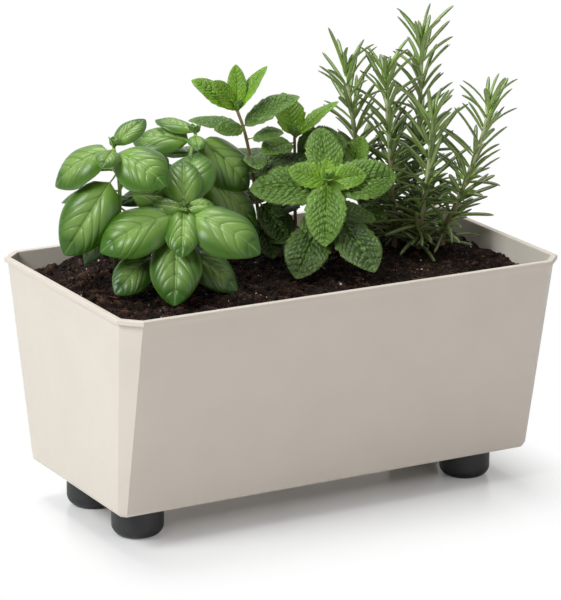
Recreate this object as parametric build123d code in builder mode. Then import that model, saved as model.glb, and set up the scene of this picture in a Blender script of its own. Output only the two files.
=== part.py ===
from build123d import *

import os
from math import ceil, cos, radians, sin, sqrt

# Indoor herb planter: a tapered box with a lipped rim on four rubber feet, filled with potting
# soil and planted with basil, mint and rosemary. The origin is on the ground under the middle of
# the box, +X along its length, +Y to the back, +Z up. All sizes are in millimetres and degrees.

os.makedirs("parts", exist_ok=True)

# Planter box
RIM_LENGTH = 360.0
RIM_WIDTH = 213.0
BASE_LENGTH = 340.0
BASE_WIDTH = 150.0
BOX_HEIGHT = 152.5
WALL = 2.4
FLOOR_THICKNESS = 3.0
RIM_CORNER = 13.6
BASE_CORNER = 4.6
BASE_ROUNDING = 5.0
LIP_HEIGHT = 3.4
LIP_PROJECTION = 2.0
LIP_ROUNDING = 0.8

# Feet, with a washer and a screw in each one's counterbore
FOOT_DIAMETER = 38.0
FOOT_HEIGHT = 27.0
FOOT_ROUNDING = 8.0
FOOT_BEVEL = 0.8
FOOT_SPACING_X = 276.0
FOOT_SPACING_Y = 74.0
COUNTERBORE_DIAMETER = 12.0
COUNTERBORE_DEPTH = 17.0
SCREW_DIAMETER = 4.0
SCREW_REACH = 12.0
SCREW_HEAD_DIAMETER = 8.0
SCREW_HEAD_HEIGHT = 3.0
SCREW_HEAD_ROUNDING = 1.2
RECESS_LENGTH = 4.6
RECESS_WIDTH = 1.0
RECESS_DEPTH = 1.6
WASHER_DIAMETER = 10.0
WASHER_THICKNESS = 1.0
SCREW_CLEARANCE = 0.2
BOSS_DIAMETER = 11.0
BOSS_HEIGHT = 13.0

# Drain hole in the middle of the floor and its rubber plug
DRAIN_DIAMETER = 18.0
PLUG_CLEARANCE = 0.3
PLUG_FLANGE_DIAMETER = 27.0
PLUG_FLANGE_HEIGHT = 2.6
PLUG_ROUNDING = 1.0
PLUG_STAND = 1.2
PULL_TAB_LENGTH = 12.0
PULL_TAB_THICKNESS = 4.0
PULL_TAB_HEIGHT = 8.5
PULL_TAB_HOLE = 4.0

# Perforated drainage plate, which holds the soil above the drained water
PLATE_THICKNESS = 2.5
PLATE_CLEARANCE = 0.8
PLATE_LEG_HEIGHT = 18.0
PLATE_LEG_DIAMETER = 9.0
PLATE_LEG_SPACING_X = 100.0
PLATE_LEG_SPACING_Y = 92.0
PLATE_HOLE_DIAMETER = 6.0
PLATE_HOLE_PITCH = 20.0
PLATE_HOLE_COLUMNS = 14
PLATE_HOLE_ROWS = 5

# Soil, and the root balls that the herbs came with
HEADSPACE = 12.0
SOIL_CLEARANCE = 0.3
ROOT_BALL_DIAMETER = 80.0
ROOT_BALL_BASE = 62.0
ROOT_BALL_HEIGHT = 85.0
ROOT_DEPTH = 24.0
STEM_CLEARANCE = 0.2

# The soil's top: its slope up to the back, its fall to the box's ends, the spacing of the points that
# it goes through, and the waves that make its heaps and hollows, each with its height, length, heading
# and shift
SOIL_BANK = 0.03
SOIL_END_FALL = 4.5
SOIL_POINT_SPACING = 10.0
SOIL_WAVES = [
    (1.1, 72.0, 20.0, 15.0),
    (1.0, 55.0, 105.0, 40.0),
    (0.8, 44.0, 160.0, 5.0),
    (0.6, 34.0, 60.0, 10.0),
]

# Leaves, needles and stems
BASIL_STEM = 3.6
MINT_STEM = 3.0
ROSEMARY_STEM = 3.2
BEND_RADIUS = 30.0
LEAF_THICKNESS = 0.9
LEAF_SHOULDER = 0.42
PETIOLE = 1.8
PETIOLE_HOLD = 3.0
NEEDLE_WIDTH = 1.9
NEEDLE_THICKNESS = 1.0
NEEDLE_NECK = 0.5
NEEDLE_SHOULDER = 0.35
NEEDLE_TAPER = 0.85
NEEDLE_STEP = 5.4
NEEDLE_TURN = 107.0
FIRST_NEEDLES = 16.0
NEEDLE_LENGTHS = [24.0, 28.0, 26.0, 30.0]
TOP_NEEDLE = 17.0
LOW_RISE = 28.0
TOP_RISE = 68.0

# Heights that follow from the sizes above
FLOOR_TOP = FOOT_HEIGHT + FLOOR_THICKNESS
RIM_TOP = FOOT_HEIGHT + BOX_HEIGHT
PLATE_TOP = FLOOR_TOP + PLATE_LEG_HEIGHT + PLATE_THICKNESS
SOIL_TOP = RIM_TOP - HEADSPACE
ROOT_END = SOIL_TOP - ROOT_DEPTH
WASHER_TOP = COUNTERBORE_DEPTH
SCREW_HEAD_TOP = WASHER_TOP - WASHER_THICKNESS
FOOT_PLACES = {
    "foot_front_left": (-FOOT_SPACING_X / 2, -FOOT_SPACING_Y / 2),
    "foot_front_right": (FOOT_SPACING_X / 2, -FOOT_SPACING_Y / 2),
    "foot_rear_left": (-FOOT_SPACING_X / 2, FOOT_SPACING_Y / 2),
    "foot_rear_right": (FOOT_SPACING_X / 2, FOOT_SPACING_Y / 2),
}
STEM_DIAMETERS = {"basil": BASIL_STEM, "mint": MINT_STEM, "rosemary": ROSEMARY_STEM}
UPWARD = (Align.CENTER, Align.CENTER, Align.MIN)
DOWNWARD = (Align.CENTER, Align.CENTER, Align.MAX)

# Where each herb's root ball stands, seen from above
ROOT_BALL_PLACES = {
    "basil_root_ball": (-99.0, 25.0),
    "mint_root_ball": (37.0, 33.0),
    "rosemary_root_ball": (121.0, 28.0),
}

# Each stem's points, from just above the soil to its top, as x, y and height over the soil.
# Under its first point a stem goes straight down into its root ball.
STEMS = {
    "basil_front": [(-98, 12, 12), (-88, -15, 62)],
    "basil_left": [(-122, 28, 12), (-119, 22, 74), (-126, 20, 103)],
    "basil_back": [(-76, 36, 12), (-48, 43, 100)],
    "mint_tall": [(8, 44, 12), (-8, 37, 93), (-18, 35, 116)],
    "mint_back": [(34, 40, 12), (29, 33, 91)],
    "mint_front": [(36, 4, 12), (32, -10, 66)],
    "mint_right": [(64, 30, 12), (69, 20, 62)],
    "rosemary_left": [(100, 52, 12), (87, 44, 90), (71, 38, 150)],
    "rosemary_middle": [(112, 26, 12), (104, 22, 80), (96, 18, 150)],
    "rosemary_tall": [(134, 38, 12), (133, 26, 97), (131, 22, 173)],
    "rosemary_front": [(122, 8, 12), (123, -3, 56), (122, -12, 118)],
    "rosemary_right": [(140, 4, 12), (145, -12, 40), (156, -30, 96), (156, -37, 130)],
}

# Heading of the lowest pair of needles on each rosemary stem
NEEDLE_START = {
    "rosemary_left": 15.0,
    "rosemary_middle": 30.0,
    "rosemary_tall": 60.0,
    "rosemary_front": 150.0,
    "rosemary_right": 30.0,
}

# Each leaf, as height of its node over the soil, heading (0 to the right, 90 to the back), rise of
# its petiole, petiole length, blade length, blade width, droop from the blade's base to its tip, and
# roll to its left about its own length
LEAVES = {
    "basil_front": [
        (62, 160, 22, 1, 22, 16, 44, 24),
        (62, -38, 22, 1, 22, 16, 44, -24),
        (61, -118, -15, 3, 41, 27, 50, 0),
        (62, 61, 64, 2, 41, 27, 46, 0),
        (56, 47, 52, 9, 57, 36, 48, 0),
        (58, 188, 0, 9, 60, 42, 62, 34),
        (58, -66, 0, 9, 60, 42, 60, -34),
        (50, -119, -30, 10, 58, 38, 42, 0),
        (28, 205, -10, 14, 42, 28, 46, 28),
        (34, -56, -16, 16, 48, 30, 46, -30),
        (44, 105, 4, 9, 42, 29, 50, 0),
        (34, 20, 4, 10, 38, 27, 48, 0),
    ],
    "basil_left": [
        (103, 14, 38, 3, 31, 22, 30, -20),
        (102, 158, -10, 4, 50, 36, 58, 28),
        (99, -76, 2, 4, 47, 38, 58, -32),
        (101, 232, 10, 3, 28, 18, 48, 12),
        (86, 200, -40, 11, 64, 44, 52, 38),
        (53, 221, -22, 11, 44, 24, 46, 56),
        (84, 102, 10, 8, 44, 31, 50, 0),
        (70, 150, 5, 9, 42, 29, 50, 0),
        (50, 112, 10, 10, 40, 28, 45, 0),
        (64, -20, 16, 8, 40, 27, 44, -14),
        (70, -10, 4, 10, 38, 26, 44, -24),
        (60, -60, 10, 8, 36, 24, 46, -20),
    ],
    "basil_back": [
        (94, 146, 18, 4, 44, 33, 48, 30),
        (100, 128, 30, 3, 32, 21, 40, 14),
        (96, -45, -22, 4, 53, 38, 56, -32),
        (95, -26, -10, 6, 29, 20, 45, -24),
        (76, -44, -26, 12, 58, 38, 52, -34),
        (84, 75, 8, 8, 46, 32, 52, 0),
        (76, 140, 4, 10, 42, 29, 50, 0),
        (52, 60, 6, 10, 42, 30, 48, 0),
        (40, -20, 4, 8, 36, 26, 45, -10),
        (62, 185, 10, 9, 44, 30, 46, 10),
        (99, -112, 4, 2, 20, 14, 44, 0),
    ],
    "mint_tall": [
        (115, 151, 43, 3, 38, 22, 20, 30),
        (116, 80, 82, 2, 32, 13, 16, 0),
        (115, -5, 62, 2, 38, 15, 20, -10),
        (116, 192, 54, 2, 27, 17, 30, 20),
        (104, 2, 28, 4, 48, 26, 22, -42),
        (103, 170, 20, 3, 20, 14, 20, 30),
        (93, 140, 26, 4, 40, 19, 20, 20),
        (93, -50, 20, 4, 24, 18, 22, -26),
        (72, 65, 16, 4, 40, 23, 28, 0),
        (80, -105, 6, 4, 26, 18, 30, 0),
        (48, 140, 8, 5, 36, 22, 30, 0),
        (48, -40, 8, 5, 34, 22, 30, -10),
        (74, -30, 10, 5, 38, 24, 28, -24),
        (58, 60, 12, 5, 36, 23, 28, 0),
        (34, -75, 4, 6, 36, 24, 34, -8),
        (60, -58, 0, 6, 36, 24, 32, -16),
    ],
    "mint_back": [
        (90, 88, 66, 3, 34, 25, 20, 0),
        (90, -5, 44, 3, 41, 16, 20, -10),
        (87, 198, 6, 4, 30, 20, 22, 26),
        (86, -30, 6, 5, 40, 27, 26, -30),
        (65, 95, 18, 5, 38, 24, 26, 0),
        (64, -100, 4, 5, 32, 22, 30, 0),
        (40, 220, 8, 5, 32, 21, 28, 0),
        (72, -35, 12, 6, 38, 24, 28, -28),
        (54, -74, 6, 6, 36, 24, 32, -12),
    ],
    "mint_front": [
        (65, 68, 56, 3, 46, 28, 25, 0),
        (61, 167, 8, 4, 53, 33, 28, 48),
        (61, -25, 14, 5, 49, 33, 28, -48),
        (65, -121, -22, 1, 48, 31, 44, 0),
        (66, 152, 10, 1, 27, 21, 24, 46),
        (66, -28, 18, 1, 29, 21, 24, -46),
        (66, -112, 30, 1, 14, 10, 24, 0),
        (66, 62, 60, 1, 19, 13, 20, 0),
        (38, -138, -20, 14, 50, 33, 34, 12),
        (40, -80, -16, 14, 52, 34, 36, -12),
        (46, 212, -24, 5, 28, 18, 30, 14),
        (40, -14, 2, 6, 36, 24, 30, -30),
        (20, 152, 8, 5, 34, 22, 30, 14),
        (22, -5, 8, 5, 30, 20, 30, -20),
    ],
    "mint_right": [
        (61, 25, 66, 3, 28, 21, 20, -10),
        (60, -60, 24, 4, 24, 17, 24, -10),
        (60, 125, 20, 4, 30, 20, 25, 0),
        (38, 85, 12, 5, 36, 22, 28, 0),
        (30, -40, 6, 5, 30, 20, 28, -20),
        (48, -10, 12, 5, 34, 22, 28, -20),
        (46, 170, 8, 5, 32, 22, 28, 16),
    ],
}


def wall_size(height, inset):
    """Length, width and corner setback of the box's outer wall at a height, set in by inset."""
    share = (height - FOOT_HEIGHT) / BOX_HEIGHT
    facet_inset = 2 - sqrt(2)
    length = BASE_LENGTH + share * (RIM_LENGTH - 2 * LIP_PROJECTION - BASE_LENGTH)
    width = BASE_WIDTH + share * (RIM_WIDTH - 2 * LIP_PROJECTION - BASE_WIDTH)
    top_corner = RIM_CORNER - LIP_PROJECTION * facet_inset
    corner = BASE_CORNER + share * (top_corner - BASE_CORNER)
    return length - 2 * inset, width - 2 * inset, corner - inset * facet_inset


def faceted_outline(length, width, corner):
    """Rectangle with its four corners cut off, drawn in the current sketch."""
    outline = Rectangle(length, width)
    chamfer(outline.vertices(), corner)


def soil_level(x, y):
    """Height of the soil's top: banked up to the back, lower at the ends, with heaps and hollows."""
    level = SOIL_TOP + SOIL_BANK * (y + wall_size(SOIL_TOP, WALL)[1] / 2)
    level -= SOIL_END_FALL * (2 * x / RIM_LENGTH) ** 4
    for height, length, heading, shift in SOIL_WAVES:
        way = x * cos(radians(heading)) + y * sin(radians(heading)) + shift
        level -= height * (1 - sin(radians(360 * way / length)))
    return level


def under_soil_top():
    """All that lies under the soil's top, at least as wide as the rim."""
    columns = ceil(RIM_LENGTH / SOIL_POINT_SPACING)
    rows = ceil(RIM_WIDTH / SOIL_POINT_SPACING)
    across = [(column - columns / 2) * SOIL_POINT_SPACING for column in range(columns + 1)]
    back = [(row - rows / 2) * SOIL_POINT_SPACING for row in range(rows + 1)]
    points = [[(x, y, soil_level(x, y)) for y in back] for x in across]
    top = Face.make_surface_from_array_of_points(points)
    return extrude(top, amount=BOX_HEIGHT, dir=(0, 0, -1))


def root_cone(clearance, mode):
    """A root ball's tapered body, carried on past the soil's top to the rim."""
    height = ROOT_BALL_HEIGHT + HEADSPACE
    spread = (ROOT_BALL_DIAMETER - ROOT_BALL_BASE) / ROOT_BALL_HEIGHT
    Cone(
        ROOT_BALL_BASE / 2 + clearance,
        (ROOT_BALL_BASE + spread * height) / 2 + clearance,
        height,
        align=DOWNWARD,
        mode=mode,
    )


def finish(builder, name):
    """Name a piece and write it out."""
    builder.part.label = name
    export_step(builder.part, f"parts/{name}.step")


def stem_point(stem, height):
    """Point of a stem's line at a height over the soil."""
    for low, high in zip(stem, stem[1:]):
        if height <= high[2]:
            break
    share = (height - low[2]) / (high[2] - low[2])
    point = Vector(*low) + (Vector(*high) - Vector(*low)) * share
    return point + Vector(0, 0, SOIL_TOP)


def leaf_plane(stem, height, heading, rise, petiole, roll):
    """Plane at a leaf's base, +X the way that the leaf sets out and +Z out of its upper side."""
    across = Vector(cos(radians(heading)), sin(radians(heading)), 0)
    up = Vector(0, 0, 1)
    along = across * cos(radians(rise)) + up * sin(radians(rise))
    upper = up * cos(radians(rise)) - across * sin(radians(rise))
    base = stem_point(stem, height) + along * petiole
    return Plane(base, x_dir=along, z_dir=upper.rotate(Axis((0, 0, 0), along), -roll))


def leaf_on(stem, height, heading, rise, petiole, length, width, droop, roll):
    """Domed leaf and its petiole, from the middle of the stem outwards."""
    dome = length / radians(droop)
    reach = dome * sin(radians(droop))
    shoulder = (LEAF_SHOULDER * reach, width / 2)
    with BuildPart() as leaf:
        with BuildSketch(Plane.XY.offset(-dome)):
            with BuildLine():
                TangentArc(shoulder, (reach, 0), tangent=(1, 0))
                TangentArc(shoulder, (0, 0), tangent=(-1, 0))
                mirror(about=Plane.XZ)
            make_face()
        extrude(amount=2 * dome)
        with Locations((0, 0, -dome)):
            Sphere(dome, rotation=(90, 0, 0), mode=Mode.INTERSECT)
            Sphere(dome - LEAF_THICKNESS, rotation=(90, 0, 0), mode=Mode.SUBTRACT)
        with Locations((-petiole, 0, -LEAF_THICKNESS / 2)):
            Cylinder(PETIOLE / 2, petiole + PETIOLE_HOLD, rotation=(0, 90, 0), align=UPWARD)
    return leaf.part.moved(leaf_plane(stem, height, heading, rise, petiole, roll).location)


def needle_on(stem, height, heading, rise, length):
    """Slim straight needle, from the middle of the stem outwards."""
    half = NEEDLE_WIDTH / 2
    with BuildPart() as needle:
        with BuildSketch(Plane.XY.offset(-NEEDLE_THICKNESS / 2)):
            with BuildLine():
                Polyline(
                    (0, half * NEEDLE_NECK),
                    (length * NEEDLE_SHOULDER, half),
                    (length * NEEDLE_TAPER, half * NEEDLE_TAPER),
                    (length, 0),
                )
                mirror(about=Plane.XZ)
                Line((0, half * NEEDLE_NECK), (0, -half * NEEDLE_NECK))
            make_face()
        extrude(amount=NEEDLE_THICKNESS)
    return needle.part.moved(leaf_plane(stem, height, heading, rise, 0, 0).location)


def needles_of(stem, start):
    """Pairs of needles up a stem, each pair turned from the one below, the top ones steeper."""
    top = stem[-1][2]
    pairs = int((top - FIRST_NEEDLES) / NEEDLE_STEP) + 1
    needles = []
    for pair in range(pairs):
        share = pair / (pairs - 1)
        rise = LOW_RISE + (TOP_RISE - LOW_RISE) * share
        length = NEEDLE_LENGTHS[pair % len(NEEDLE_LENGTHS)] * (1 - share) + TOP_NEEDLE * share
        for side in (0, 180):
            heading = start + NEEDLE_TURN * pair + side
            height = top - NEEDLE_STEP * (pairs - 1 - pair)
            needles.append(needle_on(stem, height, heading, rise, length))
    return needles


def make_sprig(name, stem, diameter, foliage):
    """Stem from its root end to its top, with the leaves or needles that it carries."""
    foot_x, foot_y, _ = stem[0]
    route = [(foot_x, foot_y, ROOT_END)] + [(x, y, SOIL_TOP + height) for x, y, height in stem]
    with BuildPart() as sprig:
        with BuildLine():
            FilletPolyline(*route, radius=BEND_RADIUS)
        with BuildSketch(Plane(route[0])):
            Circle(diameter / 2)
        sweep()
        add(foliage)
    finish(sprig, name)


# Box: tapered faceted shell with a lip, screw bosses over the feet and a drain hole
with BuildPart() as planter_box:
    with BuildSketch(Plane.XY.offset(FOOT_HEIGHT)):
        faceted_outline(*wall_size(FOOT_HEIGHT, 0))
    with BuildSketch(Plane.XY.offset(RIM_TOP)):
        faceted_outline(*wall_size(RIM_TOP, 0))
    loft(ruled=True)
    fillet(planter_box.faces().sort_by(Axis.Z)[0].edges(), BASE_ROUNDING)
    with BuildSketch(Plane.XY.offset(RIM_TOP - LIP_HEIGHT)):
        faceted_outline(RIM_LENGTH, RIM_WIDTH, RIM_CORNER)
    extrude(amount=LIP_HEIGHT)
    with BuildSketch(Plane.XY.offset(FLOOR_TOP)):
        faceted_outline(*wall_size(FLOOR_TOP, WALL))
    with BuildSketch(Plane.XY.offset(RIM_TOP)):
        faceted_outline(*wall_size(RIM_TOP, WALL))
    loft(ruled=True, mode=Mode.SUBTRACT)
    fillet(planter_box.faces().sort_by(Axis.Z)[-1].edges(), LIP_ROUNDING)
    with Locations((0, 0, FLOOR_TOP)):
        with GridLocations(FOOT_SPACING_X, FOOT_SPACING_Y, 2, 2):
            Cylinder(BOSS_DIAMETER / 2, BOSS_HEIGHT, align=UPWARD)
    with Locations((0, 0, FOOT_HEIGHT)):
        with GridLocations(FOOT_SPACING_X, FOOT_SPACING_Y, 2, 2):
            Cylinder(
                SCREW_DIAMETER / 2 + SCREW_CLEARANCE,
                SCREW_REACH,
                align=UPWARD,
                mode=Mode.SUBTRACT,
            )
        Cylinder(DRAIN_DIAMETER / 2, FLOOR_THICKNESS, align=UPWARD, mode=Mode.SUBTRACT)
finish(planter_box, "planter_box")

# Feet: round rubber buns, counterbored from below
for name, (foot_x, foot_y) in FOOT_PLACES.items():
    with BuildPart() as foot:
        with BuildSketch(Plane((foot_x, foot_y, 0))):
            Circle(FOOT_DIAMETER / 2)
        extrude(amount=FOOT_HEIGHT)
        fillet(foot.edges().group_by(Axis.Z)[0], FOOT_ROUNDING)
        chamfer(foot.edges().group_by(Axis.Z)[-1], FOOT_BEVEL)
        with Locations(Plane((foot_x, foot_y, 0), z_dir=(0, 0, -1))):
            CounterBoreHole(
                SCREW_DIAMETER / 2 + SCREW_CLEARANCE,
                COUNTERBORE_DIAMETER / 2,
                COUNTERBORE_DEPTH,
                depth=FOOT_HEIGHT,
            )
    finish(foot, name)

# Washers under the screw heads
with BuildPart() as foot_washers:
    with Locations((0, 0, WASHER_TOP)):
        with GridLocations(FOOT_SPACING_X, FOOT_SPACING_Y, 2, 2):
            Cylinder(WASHER_DIAMETER / 2, WASHER_THICKNESS, align=DOWNWARD)
            Cylinder(
                SCREW_DIAMETER / 2 + SCREW_CLEARANCE,
                WASHER_THICKNESS,
                align=DOWNWARD,
                mode=Mode.SUBTRACT,
            )
finish(foot_washers, "foot_washers")

# Screws: pan heads with a cross recess, shanks up through the feet into the bosses
with BuildPart() as foot_screws:
    with Locations((0, 0, SCREW_HEAD_TOP)):
        with GridLocations(FOOT_SPACING_X, FOOT_SPACING_Y, 2, 2):
            Cylinder(SCREW_HEAD_DIAMETER / 2, SCREW_HEAD_HEIGHT, align=DOWNWARD)
    fillet(foot_screws.edges().group_by(Axis.Z)[0], SCREW_HEAD_ROUNDING)
    with Locations((0, 0, SCREW_HEAD_TOP)):
        with GridLocations(FOOT_SPACING_X, FOOT_SPACING_Y, 2, 2):
            Cylinder(
                SCREW_DIAMETER / 2,
                FOOT_HEIGHT + SCREW_REACH - SCREW_HEAD_TOP,
                align=UPWARD,
            )
    with Locations((0, 0, SCREW_HEAD_TOP - SCREW_HEAD_HEIGHT)):
        with GridLocations(FOOT_SPACING_X, FOOT_SPACING_Y, 2, 2):
            Box(RECESS_LENGTH, RECESS_WIDTH, RECESS_DEPTH, align=UPWARD, mode=Mode.SUBTRACT)
            Box(RECESS_WIDTH, RECESS_LENGTH, RECESS_DEPTH, align=UPWARD, mode=Mode.SUBTRACT)
finish(foot_screws, "foot_screws")

# Drain plug: a short shank in the drain hole, a flange under the floor and a tab to pull it by
with BuildPart() as drain_plug:
    with Locations((0, 0, FOOT_HEIGHT)):
        Cylinder(PLUG_FLANGE_DIAMETER / 2, PLUG_FLANGE_HEIGHT, align=DOWNWARD)
    fillet(drain_plug.edges().group_by(Axis.Z)[0], PLUG_ROUNDING)
    with Locations((0, 0, FOOT_HEIGHT)):
        Cylinder(
            DRAIN_DIAMETER / 2 - PLUG_CLEARANCE,
            FLOOR_THICKNESS + PLUG_STAND,
            align=UPWARD,
        )
    fillet(drain_plug.edges().group_by(Axis.Z)[-1], PLUG_ROUNDING)
    with Locations((0, 0, FOOT_HEIGHT - PLUG_FLANGE_HEIGHT)):
        Box(PULL_TAB_LENGTH, PULL_TAB_THICKNESS, PULL_TAB_HEIGHT, align=DOWNWARD)
    with Locations((0, 0, FOOT_HEIGHT - PLUG_FLANGE_HEIGHT - PULL_TAB_HEIGHT / 2)):
        Cylinder(
            PULL_TAB_HOLE / 2,
            PULL_TAB_THICKNESS,
            rotation=(90, 0, 0),
            mode=Mode.SUBTRACT,
        )
finish(drain_plug, "drain_plug")

# Drainage plate: a perforated false floor on short legs
with BuildPart() as drainage_plate:
    plate_underside = FLOOR_TOP + PLATE_LEG_HEIGHT
    with BuildSketch(Plane.XY.offset(plate_underside)):
        faceted_outline(*wall_size(plate_underside, WALL + PLATE_CLEARANCE))
        with GridLocations(
            PLATE_HOLE_PITCH, PLATE_HOLE_PITCH, PLATE_HOLE_COLUMNS, PLATE_HOLE_ROWS
        ):
            Circle(PLATE_HOLE_DIAMETER / 2, mode=Mode.SUBTRACT)
    extrude(amount=PLATE_THICKNESS)
    with Locations((0, 0, FLOOR_TOP)):
        with GridLocations(PLATE_LEG_SPACING_X, PLATE_LEG_SPACING_Y, 3, 2):
            Cylinder(PLATE_LEG_DIAMETER / 2, PLATE_LEG_HEIGHT, align=UPWARD)
finish(drainage_plate, "drainage_plate")

# Soil: fills the box from the plate up, with an uneven top and a pocket round each root ball
soil_below = under_soil_top()
with BuildPart() as potting_soil:
    with BuildSketch(Plane.XY.offset(PLATE_TOP)):
        faceted_outline(*wall_size(PLATE_TOP, WALL + SOIL_CLEARANCE))
    with BuildSketch(Plane.XY.offset(RIM_TOP)):
        faceted_outline(*wall_size(RIM_TOP, WALL + SOIL_CLEARANCE))
    loft(ruled=True)
    with Locations(*[(x, y, RIM_TOP) for x, y in ROOT_BALL_PLACES.values()]):
        root_cone(SOIL_CLEARANCE, Mode.SUBTRACT)
    add(soil_below, mode=Mode.INTERSECT)
finish(potting_soil, "potting_soil")

# Root balls: tapered plugs that end level with the soil, with a socket for each stem
for name, (ball_x, ball_y) in ROOT_BALL_PLACES.items():
    herb = name.split("_")[0]
    with BuildPart() as root_ball:
        with Locations((ball_x, ball_y, RIM_TOP)):
            root_cone(0, Mode.ADD)
        add(soil_below, mode=Mode.INTERSECT)
        for sprig_name, stem in STEMS.items():
            if sprig_name.startswith(herb):
                with Locations((stem[0][0], stem[0][1], ROOT_END)):
                    Cylinder(
                        STEM_DIAMETERS[herb] / 2 + STEM_CLEARANCE,
                        ROOT_DEPTH + HEADSPACE,
                        align=UPWARD,
                        mode=Mode.SUBTRACT,
                    )
    finish(root_ball, name)

# Herbs: one piece for each sprig
for name, stem in STEMS.items():
    herb = name.split("_")[0]
    if herb == "rosemary":
        foliage = needles_of(stem, NEEDLE_START[name])
    else:
        foliage = [leaf_on(stem, *leaf) for leaf in LEAVES[name]]
    make_sprig(name, stem, STEM_DIAMETERS[herb], foliage)
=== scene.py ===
"""Indoor herb planter: a tapered box on rubber feet, with soil, basil, mint and rosemary.

The box, feet, screws, washers, plug and drainage plate are the frame's own nodes with finished
materials. The soil and the herbs are meshes made here in millimetres, in the frame's axes.
"""

import math

import bmesh
import bpy
import numpy as np
from mathutils import Matrix, Vector, noise


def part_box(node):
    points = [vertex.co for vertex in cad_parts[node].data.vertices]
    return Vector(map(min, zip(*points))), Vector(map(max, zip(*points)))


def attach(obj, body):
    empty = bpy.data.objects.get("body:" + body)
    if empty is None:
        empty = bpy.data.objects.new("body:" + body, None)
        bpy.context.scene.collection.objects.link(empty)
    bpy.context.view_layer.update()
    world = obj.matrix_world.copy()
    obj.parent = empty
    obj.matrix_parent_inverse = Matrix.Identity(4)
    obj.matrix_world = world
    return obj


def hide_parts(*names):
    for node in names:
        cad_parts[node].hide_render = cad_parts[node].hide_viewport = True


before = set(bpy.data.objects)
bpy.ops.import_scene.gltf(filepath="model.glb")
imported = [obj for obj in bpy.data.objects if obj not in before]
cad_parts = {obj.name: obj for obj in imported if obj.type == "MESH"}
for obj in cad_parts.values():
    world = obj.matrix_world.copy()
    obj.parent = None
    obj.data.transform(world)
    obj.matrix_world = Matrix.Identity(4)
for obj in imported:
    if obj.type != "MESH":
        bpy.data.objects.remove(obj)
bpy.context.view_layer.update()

MM = 0.001
BODY = "planter"
SEED = 11

# Camera: the point it looks at, how far round, up and away it stands, and its tilt
LOOK_AT = (-0.0007, 0.0001, 0.1459)
CAMERA_YAW = 29.02
CAMERA_PITCH = 15.98
CAMERA_ROLL = 0.175
CAMERA_DISTANCE = 2.4483
LENS = 199.9
SENSOR = 36.0

# Light: the world's strength, and each lamp's place, aim, size, power and colour
WORLD_FILL = 0.09
LAMPS = {
    "key": ((-2.1, -0.35, 1.9), (0, 0, 0.2), 1.3, 66, (0.955, 0.99, 1.0)),
    "top": ((0.0, 0.6, 2.4), (0, 0, 0.2), 1.4, 36, (1.0, 1.0, 1.0)),
    "fill": ((0.6, -2.6, 1.0), (0, 0, 0.15), 1.6, 11, (1.0, 0.93, 0.92)),
}

# Floor, in metres: half its size, half the shaded patch under the box, and how far that patch fades
FLOOR_REACH = 6.0
SHADED_HALF = (0.15, 0.025)
SHADE_FADE = (0.075, 0.15)

# Soil in the box: how far it lies under the rim, and its extent
HEADSPACE = 12.0
SOIL_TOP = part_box("planter_box")[1].z / MM - HEADSPACE
SOIL_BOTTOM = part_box("potting_soil")[0].z / MM
BOX_HALF_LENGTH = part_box("planter_box")[1].x / MM
SOIL_HALF = (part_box("potting_soil")[1].x / MM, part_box("potting_soil")[1].y / MM)
SOIL_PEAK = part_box("potting_soil")[1].z / MM

# The soil's base as a share of its top, the walls' slope, the cut corners and the spacing of points
SOIL_BASE_SHARE = (0.95, 0.74)
WALL_SLOPE = (0.07, 0.21)
SOIL_CORNER = 11.5
SOIL_PITCH = 1.25

# The soil's top: its slope up to the back, its fall to the box's ends, and waves with their height,
# spacing, heading and shift
SOIL_BANK = 0.03
SOIL_END_FALL = 4.5
SOIL_WAVES = [(1.1, 72, 20, 15), (1.0, 55, 105, 40), (0.8, 44, 160, 5), (0.6, 34, 60, 10)]

# A heap and a dip: height, middle in x and y, and spread in x and y
SOIL_HEAPS = [(3.5, -112, 45, 26, 40), (-3.5, -165, 80, 30, 45)]

# Clods and crumbs of the ground, as noise: height, fineness, layer, octaves' fading and number
SOIL_CLODS = [(2.8, 0.11, 7.7, 0.8, 3), (0.8, 0.45, 1.3, 0.7, 2)]
OCTAVE_STEP = 2.0
# The ground's tint at the soil's level and its rise per millimetre of clod: painted light on the clods'
# tops and painted shade in the hollows
GROUND_LIGHT_AND_SHADE = 0.3
PAINTED_LIGHT_PER_MM = 0.22

# Loose lumps: number, smallest and largest radius, how finely each is cut, its sink as a share of its
# radius, and its palest tint
FINE_CRUMBS = (8000, 0.5, 1.5, 1, 0.1, 1.0)
COARSE_CRUMBS = (1200, 1.0, 3.2, 2, 0.25, 0.6)
PERLITE = (190, 0.35, 1.0, 2, -0.2, 1.0)
LUMP_FORMS = 6
LUMP_ROUGHNESS = 0.55
LUMP_FINENESS = 1.7
LUMP_STRETCH = (0.7, 1.2)
LUMP_LEAN = 2.4
LUMP_INSET = 0.6

# Bits of root and bark, with the ranges of their turn, length, rise, bow, radius and tint
FIBRES = 260
FIBRE_INSET = 10
FIBRE_SIDES = 4
FIBRE_RANGES = [(0, 2 * math.pi), (4, 13), (-0.15, 0.3), (-2, 2), (0.18, 0.42), (0.6, 1)]

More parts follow.
